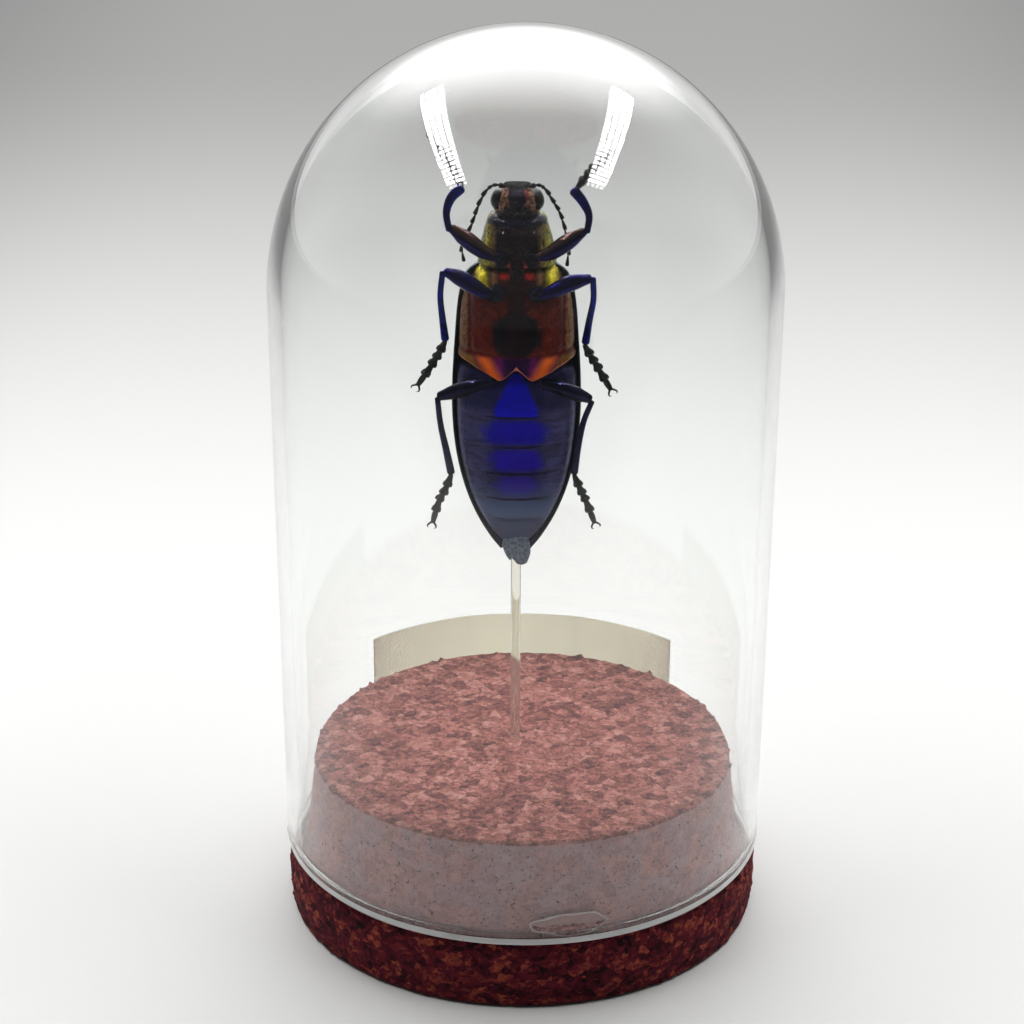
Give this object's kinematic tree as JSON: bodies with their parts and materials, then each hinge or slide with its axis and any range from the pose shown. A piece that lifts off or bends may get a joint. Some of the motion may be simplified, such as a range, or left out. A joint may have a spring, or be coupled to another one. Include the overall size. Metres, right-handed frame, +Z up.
{
  "type": "insect in glass dome",
  "caption": "Mounted jewel beetle, belly to the front, held head up on a clear rod under a clear glass dome that stands on a flanged cork base with a curled paper label behind it",
  "frame": {"origin": "middle of the cork base's underside, on the surface that it stands on", "axes": "+Z up along the dome's axis, -Y towards the viewer and the beetle's belly, +X to the viewer's right"},
  "size_m": [0.06, 0.06, 0.1095],
  "materials": {
    "dome_glass": "clear blown glass, polished",
    "cork": "pressed cork granules, stained dusty rose-brown, wine red on the flange",
    "paper": "cream paper, plain, seen from the back",
    "acrylic": "clear extruded rod, slightly warm",
    "glue": "clear set glue",
    "face_cuticle": "dark purple and coppery metallic insect cuticle",
    "green_gold_cuticle": "pitted green-gold metallic insect cuticle, plum in the middle",
    "copper_cuticle": "dark red metallic insect cuticle with orange glow and tan hair",
    "belly_cuticle": "ultramarine metallic insect cuticle, grey-purple at the sides",
    "slate_cuticle": "slate grey insect cuticle",
    "wing_case_cuticle": "dark blue-teal metallic wing cases with pitted rows",
    "leg_cuticle": "deep blue-violet metallic insect cuticle",
    "black_cuticle": "black insect cuticle"
  },
  "bodies": {
    "root": {"cork_base": "cork", "glass_dome": "dome_glass", "paper_label": "paper", "clear_rod": "acrylic", "glue_dab_front": "glue", "glue_dab_side": "glue", "head": "face_cuticle", "antenna_left": "black_cuticle", "antenna_right": "black_cuticle", "prothorax": "green_gold_cuticle", "hind_thorax": "copper_cuticle", "abdomen": "belly_cuticle", "tail_segment": "slate_cuticle", "wing_case_left": "wing_case_cuticle", "wing_case_right": "wing_case_cuticle", "fore_left_femur": "leg_cuticle", "fore_left_tibia": "leg_cuticle", "fore_left_tarsus": "black_cuticle", "fore_right_femur": "leg_cuticle", "fore_right_tibia": "leg_cuticle", "fore_right_tarsus": "black_cuticle", "mid_left_femur": "leg_cuticle", "mid_left_tibia": "leg_cuticle", "mid_left_tarsus": "black_cuticle", "mid_right_femur": "leg_cuticle", "mid_right_tibia": "leg_cuticle", "mid_right_tarsus": "black_cuticle", "hind_left_femur": "leg_cuticle", "hind_left_tibia": "leg_cuticle", "hind_left_tarsus": "black_cuticle", "hind_right_femur": "leg_cuticle", "hind_right_tibia": "leg_cuticle", "hind_right_tarsus": "black_cuticle"}
  },
  "joints": []
}
